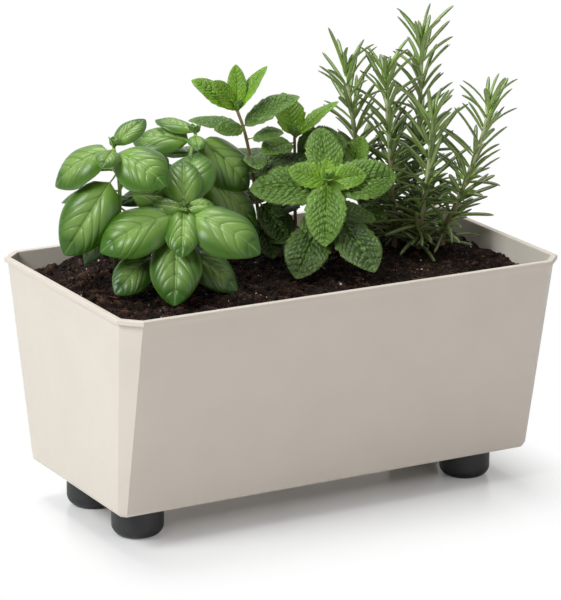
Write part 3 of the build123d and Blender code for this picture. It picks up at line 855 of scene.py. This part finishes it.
def make_rosemary(name, needle_material, stem_material, rng):
    """A rosemary sprig: its needles and its stem."""
    needles, stems = Shape(), Shape()
    add_stem(stems, name, TOP_DROP)
    top = STEMS[name][-1][2] - TOP_DROP
    start = rng.uniform(0, 180)
    add_whorls(needles, name, top, start, rng)
    add_tuft(needles, name, top, start, rng)
    add_low_needles(needles, name, top, rng)
    needles.make(name + "_needles", needle_material, "rosemary_leaf", name)
    stems.make(name + "_stem", stem_material, "rosemary_leaf")


def soil_level(x, y):
    """The soil's level over its front edge: banked to the back, lower at the ends, with waves."""
    level = SOIL_BANK * (y + SOIL_HALF[1]) - SOIL_END_FALL * (x / BOX_HALF_LENGTH) ** 4
    for height, spacing, heading, shift in SOIL_WAVES:
        turn = math.radians(heading)
        way = x * math.cos(turn) + y * math.sin(turn) + shift
        level -= height * (1 - math.sin(2 * math.pi * way / spacing))
    return level


def soil_heaps(x, y):
    """A heap thrown up at the left end and a dip behind it."""
    return sum(height * math.exp(-((x - along) / long) ** 2 - ((y - back) / deep) ** 2)
               for height, along, back, long, deep in SOIL_HEAPS)


def soil_clods(x, y):
    """Clods and crumbs, over the soil's level."""
    return sum(height * noise.fractal(Vector((x * fine, y * fine, layer)), fading, OCTAVE_STEP, octaves)
               for height, fine, layer, fading, octaves in SOIL_CLODS)


def cut_corner(x, y):
    """The place in the soil's outline, whose corners are cut off."""
    over = abs(x) + abs(y) - (SOIL_HALF[0] + SOIL_HALF[1] - SOIL_CORNER)
    if over > 0:
        x -= math.copysign(over / 2, x)
        y -= math.copysign(over / 2, y)
    return x, y


def soil_point(x, y):
    """The soil's top at a place, drawn in as the walls slope where it lies low."""
    x, y = cut_corner(x, y)
    level = SOIL_TOP + (soil_level(x, y) + soil_heaps(x, y) + soil_clods(x, y))
    drop = max(0.0, SOIL_PEAK - level)
    x *= 1 - WALL_SLOPE[0] * drop / SOIL_HALF[0]
    y *= 1 - WALL_SLOPE[1] * drop / SOIL_HALF[1]
    return x, y, level


def soil_ground():
    """The soil's top as a grid, with its sides and underside."""
    columns = round(2 * SOIL_HALF[1] / SOIL_PITCH)
    rows = round(2 * SOIL_HALF[0] / SOIL_PITCH)
    points = []
    relief_light_and_shade = []
    for x in np.linspace(-SOIL_HALF[0], SOIL_HALF[0], rows + 1):
        for y in np.linspace(-SOIL_HALF[1], SOIL_HALF[1], columns + 1):
            points.append(soil_point(x, y))
            # The tint follows the clods: painted light on their tops, painted shade in the hollows
            relief_light_and_shade.append(GROUND_LIGHT_AND_SHADE + PAINTED_LIGHT_PER_MM * soil_clods(x, y))
    points = np.array(points)
    edge = grid_edge(rows, columns)
    foot = points[edge] * (*SOIL_BASE_SHARE, 0) + (0, 0, SOIL_BOTTOM)
    low = len(points) + np.arange(len(edge))
    after = np.roll(edge, -1)
    band = np.stack([low, np.roll(low, -1), after, edge], axis=1)
    faces = [grid_faces(rows, columns), band, low[None, ::-1]]
    relief_light_and_shade = np.clip(np.concatenate([relief_light_and_shade, np.zeros(len(edge))]), 0, 1)
    return np.concatenate([points, foot]), faces, relief_light_and_shade


def lump(rng, subdivisions):
    """A rough lump about one millimetre in radius."""
    mesh = bpy.data.meshes.new("lump")
    form = bmesh.new()
    bmesh.ops.create_icosphere(form, subdivisions=subdivisions, radius=1.0)
    form.to_mesh(mesh)
    form.free()
    points = np.array([vertex.co for vertex in mesh.vertices])
    faces = np.array([polygon.vertices for polygon in mesh.polygons])
    bpy.data.meshes.remove(mesh)
    shift = Vector((rng.uniform(0, 50), 0, 0))
    swell = [noise.noise(Vector(point) * LUMP_FINENESS + shift) for point in points]
    scale = 1 + LUMP_ROUGHNESS * np.array(swell)
    return points * scale[:, None] * rng.uniform(*LUMP_STRETCH, 3), faces


def random_turn(rng):
    """A random turn in space, as a matrix."""
    w, x, y, z = unit(rng.normal(size=4))
    return np.array([
        (1 - 2 * (y * y + z * z), 2 * (x * y - z * w), 2 * (x * z + y * w)),
        (2 * (x * y + z * w), 1 - 2 * (x * x + z * z), 2 * (y * z - x * w)),
        (2 * (x * z - y * w), 2 * (y * z + x * w), 1 - 2 * (x * x + y * y)),
    ])


def soil_spot(rng, inset):
    x = rng.uniform(-SOIL_HALF[0] + inset, SOIL_HALF[0] - inset)
    y = rng.uniform(-SOIL_HALF[1] + inset, SOIL_HALF[1] - inset)
    return np.array(soil_point(x, y))


def scatter(shape, rng, count, smallest, largest, subdivisions, sink, palest):
    """Lumps of many sizes, most of them small, sunk a little or lying on the soil."""
    forms = [lump(rng, subdivisions) for _ in range(LUMP_FORMS)]
    for index in range(count):
        points, faces = forms[index % len(forms)]
        radius = smallest + (largest - smallest) * rng.uniform(0, 1) ** LUMP_LEAN
        spot = soil_spot(rng, radius + LUMP_INSET) - np.array([0, 0, sink * radius])
        shape.add(spot + radius * points @ random_turn(rng), [faces], tint=rng.uniform(0, palest))


def add_fibres(shape, rng):
    """Thin bits of root and bark that lie on the soil."""
    for _ in range(FIBRES):
        spot = soil_spot(rng, FIBRE_INSET)
        turn, length, rise, bow, radius, tint = draws(rng, FIBRE_RANGES)
        reach = np.array([math.cos(turn), math.sin(turn), rise]) * length
        aside = np.array([-math.sin(turn), math.cos(turn), 0.4]) * bow
        path = smooth_path([spot, spot + reach * 0.5 + aside, spot + reach], 2)
        points, faces = tube(path, np.full(len(path), radius), FIBRE_SIDES)
        shape.add(points, faces, tint=tint)


def make_soil(soil_material, perlite_material, rng):
    ground = Shape()
    points, faces, relief_light_and_shade = soil_ground()
    ground.add(points, faces, tint=relief_light_and_shade)
    ground.make("soil_ground", soil_material, "soil", "potting_soil", "basil_root_ball",
                "mint_root_ball", "rosemary_root_ball")
    crumbs = Shape()
    scatter(crumbs, rng, *FINE_CRUMBS)
    scatter(crumbs, rng, *COARSE_CRUMBS)
    add_fibres(crumbs, rng)
    crumbs.make("soil_crumbs", soil_material, "soil")
    grains = Shape()
    scatter(grains, rng, *PERLITE)
    grains.make("perlite_grains", perlite_material, "soil")


def box_finish():
    """Warm grey-beige moulded plastic with a satin skin."""
    finish = Finish("box_plastic", {"Specular IOR Level": 0.42})
    finish.colour(finish.mix(finish.noise(26.0, 4.0), srgb(202, 193, 181), srgb(210, 201, 190)))
    finish.roughness(finish.mottled(180.0, 5.0, 0.40, 0.52))
    finish.bump(finish.noise(2600.0, 2.0), 0.12, 0.0001)
    return finish.material


def rubber_finish(name, colour, worn):
    finish = Finish(name, {"Specular IOR Level": 0.4})
    finish.colour(finish.mix(finish.noise(120.0, 5.0), srgb(*colour), srgb(*worn)))
    finish.roughness(finish.mottled(300.0, 4.0, 0.42, 0.6))
    finish.bump(finish.noise(1800.0, 3.0), 0.2, 0.0001)
    return finish.material


def steel_finish():
    finish = Finish("fastener_steel", {"Metallic": 1.0})
    finish.colour(finish.mix(finish.noise(400.0, 4.0), srgb(170, 170, 166), srgb(200, 200, 196)))
    finish.roughness(finish.mottled(900.0, 4.0, 0.28, 0.45))
    finish.bump(finish.noise(3000.0, 2.0), 0.1, 0.00005)
    return finish.material


def soil_finish():
    """Moist, dark potting mix with reddish crumbs; on the ground, painted light on the clods' tops and
    painted shade in the hollows.
    """
    finish = Finish("soil", {"Specular IOR Level": 0.1})
    tint = finish.value("tint")
    patch = finish.noise(70.0, 5.0)
    grain = finish.noise(900.0, 4.0)
    colour = finish.mix(finish.span(patch, 0.35, 0.65), srgb(8, 5, 4), srgb(34, 23, 18))
    # A high tint gives reddish crumbs and a low one near black; on the ground the tint follows the
    # clods, so this paints light on their tops and shade in the hollows
    specks = [(tint, 0.5, 1.0, 0.85, (108, 77, 60)), (tint, 0.35, 0.0, 0.9, (5, 3, 2)),
              (grain, 0.5, 0.3, 0.8, (6, 4, 3)), (grain, 0.58, 0.74, 0.5, (104, 74, 57))]
    for value, none, full, share, speck in specks:
        colour = finish.mix(finish.span(value, none, full, 0.0, share), colour, srgb(*speck))
    finish.colour(colour)
    finish.roughness(finish.mottled(240.0, 3.0, 0.62, 0.95))
    finish.bump(finish.noise(800.0, 6.0), 1.0, 0.001)
    return finish.material


def perlite_finish():
    finish = Finish("perlite", {})
    finish.colour(finish.mix(finish.value("tint"), srgb(206, 198, 188), srgb(238, 234, 228)))
    finish.roughness(finish.mottled(600.0, 3.0, 0.7, 0.95))
    finish.bump(finish.noise(2200.0, 4.0), 0.7, 0.0004)
    return finish.material


def basil_finish():
    """Glossy, puffed leaves: mid green, yellower when young, paler below and along the ribs, with a
    painted sheen in the middle, painted shade at the rim and in the vein creases, and a painted
    highlight at the edge.
    """
    finish = Finish("basil_leaf", {"Specular IOR Level": 0.3, "Subsurface Scale": 0.0015, **LEAF_GLOW})
    colour = finish.leaf_colour(0.65, 75.0, 4.0, 0.4, (20, 52, 0), (80, 122, 20))
    # Painted sheen: the blade's middle, away from its rim, is mixed paler
    middle = finish.span(finish.value("rim"), 0.0, 0.6, 0.5, 0.0)
    colour = finish.mix(middle, colour, srgb(150, 182, 100))
    # Young leaves are paler; painted shade: the rim and tip are darker
    colour = finish.marked(colour, ("young", 0.3, (150, 182, 88)), ("rim", 0.75, (34, 80, 0)))
    base = finish.span(finish.value("along"), 0.0, 0.3, 0.35, 0.0)
    colour = finish.mix(base, colour, srgb(110, 158, 24))
    # Painted shade in the vein creases and a painted highlight along the edge; the midrib and underside
    # are paler in their own colour
    finish.colour(finish.marked(colour, ("vein", 0.45, (34, 70, 12)), ("midrib", 0.65, (168, 198, 118)),
                                ("edge", 0.25, (150, 182, 100)), ("under", 0.7, (136, 166, 100))))
    finish.leaf_roughness(110.0, 0.27, 0.32, 0.2)
    finish.bump(finish.noise(900.0, 4.0), 0.2, 0.0002)
    return finish.material


def mint_finish():
    """Quilted, softly shining leaves: deep green when old, bright yellow-green when young, with painted
    highlights on the puffs and painted shade in the creases and along the vein net.
    """
    finish = Finish("mint_leaf", {"Specular IOR Level": 0.27, "Subsurface Scale": 0.0012, **LEAF_GLOW})
    colour = finish.leaf_colour(0.75, 80.0, 4.0, 0.26, (10, 32, 0), (86, 124, 34))
    puff = finish.value("puff")
    # Painted highlight: the tops of the puffs are paler
    colour = finish.mix(finish.span(puff, 0.4, 1.0, 0.0, 0.24), colour, srgb(154, 184, 104))
    colour = finish.marked(colour, ("young", 0.9, (126, 172, 24)))
    old = finish.span(finish.value("young"), 0.2, 0.8, 1.0, 0.25)
    # Painted shade in the creases between the puffs, less on young leaves
    crease = finish.math("MULTIPLY", finish.span(puff, 0.0, 0.7, 0.42, 0.0), old)
    colour = finish.mix(crease, colour, srgb(22, 48, 4))
    # A fine vein net that bumps the surface, with painted shade along its grooves, less on young leaves
    cells = finish.node("ShaderNodeTexVoronoi", {"Vector": finish.place, "Scale": 240.0},
                        feature="DISTANCE_TO_EDGE")
    net = finish.span(cells.outputs["Distance"], 0.0, 0.3)
    mesh = finish.math("MULTIPLY", finish.span(net, 0.0, 0.6, 0.2, 0.0), old)
    colour = finish.mix(mesh, colour, srgb(24, 52, 4))
    finish.colour(finish.marked(colour, ("vein", 0.2, (124, 160, 72)), ("midrib", 0.5, (146, 182, 86)),
                                ("under", 0.65, (126, 158, 98))))
    finish.leaf_roughness(120.0, 0.35, 0.41, 0.2)
    finish.bump(finish.math("MULTIPLY", net, old), 0.45, 0.0011)
    return finish.material


def rosemary_finish():
    """Leathery needles: dark above with a pale line that is partly a painted highlight, grey-green
    below, fresh green at the tips.
    """
    finish = Finish("rosemary_leaf", {"Specular IOR Level": 0.36})
    colour = finish.leaf_colour(0.7, 140.0, 3.0, 0.3, (20, 42, 4), (132, 164, 50))
    colour = finish.marked(colour, ("young", 0.6, (124, 164, 50)))
    along = finish.value("along")
    colour = finish.mix(finish.span(along, 0.0, 0.5, 0.75, 0.0), colour, srgb(150, 184, 74))
    colour = finish.mix(finish.span(along, 0.3, 0.9, 0.0, 0.8), colour, srgb(66, 78, 50))
    # The pale line, partly a painted highlight, and the paler underside
    finish.colour(finish.marked(colour, ("line", 0.7, (188, 204, 148)), ("under", 0.6, (166, 186, 122))))
    finish.leaf_roughness(60.0, 0.34, 0.4, 0.25)
    finish.bump(finish.noise(1600.0, 3.0), 0.12, 0.0001)
    return finish.material


def stem_finish(name, low, high):
    """A stem that goes from one colour at the soil to another at its top."""
    finish = Finish(name, {"Specular IOR Level": 0.35})
    share = finish.math("ADD", finish.value("up"), finish.mottled(90.0, 4.0, -0.2, 0.2))
    colour = finish.mix(finish.span(share, 0.25, 0.8), srgb(*low), srgb(*high))
    streak = finish.noise(700.0, 4.0)
    colour = finish.mix(finish.span(streak, 0.5, 0.75, 0.0, 0.35), colour, srgb(*low))
    finish.colour(colour)
    finish.roughness(finish.span(streak, *NOISE_RANGE, 0.5, 0.7))
    finish.bump(streak, 0.4, 0.0004)
    return finish.material


def dress_nodes():
    """New materials for the frame's own nodes."""
    foot = rubber_finish("foot_rubber", (35, 35, 37), (45, 45, 46))
    steel = steel_finish()
    finishes = {
        "planter_box": box_finish(),
        "drain_plug": rubber_finish("plug_rubber", (36, 36, 38), (50, 50, 50)),
        "drainage_plate": rubber_finish("plate_plastic", (58, 58, 58), (66, 66, 66)),
        "foot_screws": steel,
        "foot_washers": steel,
    }
    for corner in ("front_left", "front_right", "rear_left", "rear_right"):
        finishes["foot_" + corner] = foot
    for name, finish in finishes.items():
        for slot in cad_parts[name].material_slots:
            slot.material = finish


def make_herbs():
    materials = {
        "basil": (basil_finish(), stem_finish("basil_stem", (112, 148, 62), (150, 182, 92))),
        "mint": (mint_finish(), stem_finish("mint_stem", (146, 118, 86), (128, 146, 70))),
        "rosemary": (rosemary_finish(), stem_finish("rosemary_stem", (150, 122, 100), (178, 186, 140))),
    }
    for index, name in enumerate(STEMS):
        herb = name.split("_")[0]
        make = make_rosemary if herb == "rosemary" else make_leafy
        make(name, *materials[herb], np.random.default_rng(SEED + index))


def floor_finish():
    """Glossy white, lifted to plain white for the camera, wholly so away from the object."""
    finish = Finish("floor", {"Base Color": srgb(250, 250, 250), "Roughness": 0.2,
                              "Specular IOR Level": 0.5})
    beyond = finish.vector("SUBTRACT", finish.vector("ABSOLUTE", finish.place), (*SHADED_HALF, 0.0))
    beyond = finish.vector("DIVIDE", finish.vector("MAXIMUM", beyond), (*SHADE_FADE, 1.0))
    away = finish.node("ShaderNodeVectorMath", {0: beyond}, operation="LENGTH").outputs["Value"]
    seen = finish.node("ShaderNodeLightPath", {}).outputs["Is Camera Ray"]
    share = finish.math("MULTIPLY", finish.span(away, 0.0, 1.0), seen)
    white = finish.node("ShaderNodeEmission", {"Color": (1.0, 1.0, 1.0, 1.0), "Strength": 1.0})
    blend = finish.node("ShaderNodeMixShader", {0: share})
    finish.links.new(finish.shader.outputs["BSDF"], blend.inputs[1])
    finish.links.new(white.outputs["Emission"], blend.inputs[2])
    finish.links.new(blend.outputs["Shader"], finish.nodes["Material Output"].inputs["Surface"])
    return finish.material


def make_floor():
    mesh = bpy.data.meshes.new("floor")
    corners = [(x * FLOOR_REACH, y * FLOOR_REACH, 0) for x, y in ((-1, -1), (1, -1), (1, 1), (-1, 1))]
    mesh.from_pydata(corners, [], [(0, 1, 2, 3)])
    mesh.materials.append(floor_finish())
    floor = put("floor", mesh)


def make_lamp(name, place, aim, size, power, colour):
    lamp = bpy.data.lights.new(name, "AREA")
    lamp.shape = "DISK"
    lamp.size = size
    lamp.energy = power
    lamp.color = colour
    holder = put(name, lamp)
    holder.location = place
    direction = Vector(aim) - Vector(place)
    holder.rotation_euler = direction.to_track_quat("-Z", "Y").to_euler()


def make_world():
    """Soft white light all round, and a white background where the camera sees it."""
    world = bpy.data.worlds.new("studio")
    world.use_nodes = True
    bpy.context.scene.world = world
    graph = Graph(world.node_tree)
    background = graph.nodes["Background"].inputs
    background["Color"].default_value = (1.0, 1.0, 1.0, 1.0)
    path = graph.node("ShaderNodeLightPath", {}).outputs
    seen = path["Is Camera Ray"]
    for ray in ("Is Glossy Ray", "Is Transmission Ray"):
        seen = graph.math("MAXIMUM", seen, path[ray])
    graph.feed(background["Strength"], graph.span(seen, 0.0, 1.0, WORLD_FILL, 1.0))


def make_lights():
    make_world()
    for name, lamp in LAMPS.items():
        make_lamp(name, *lamp)


def make_camera():
    camera = bpy.data.cameras.new("camera")
    camera.lens = LENS
    camera.sensor_width = SENSOR
    holder = put("camera", camera)
    yaw = math.radians(CAMERA_YAW)
    pitch = math.radians(CAMERA_PITCH)
    back = Vector((-math.sin(yaw) * math.cos(pitch), -math.cos(yaw) * math.cos(pitch), math.sin(pitch)))
    right = Vector((math.cos(yaw), -math.sin(yaw), 0))
    turn = Matrix((right, back.cross(right), back)).transposed().to_4x4()
    place = Matrix.Translation(Vector(LOOK_AT) + back * CAMERA_DISTANCE)
    holder.matrix_world = place @ turn @ Matrix.Rotation(math.radians(CAMERA_ROLL), 4, "Z")
    bpy.context.scene.camera = holder


make_camera()
make_lights()
make_floor()
dress_nodes()
make_soil(soil_finish(), perlite_finish(), np.random.default_rng(SEED))
make_herbs()

bpy.context.scene.view_settings.view_transform = "Standard"
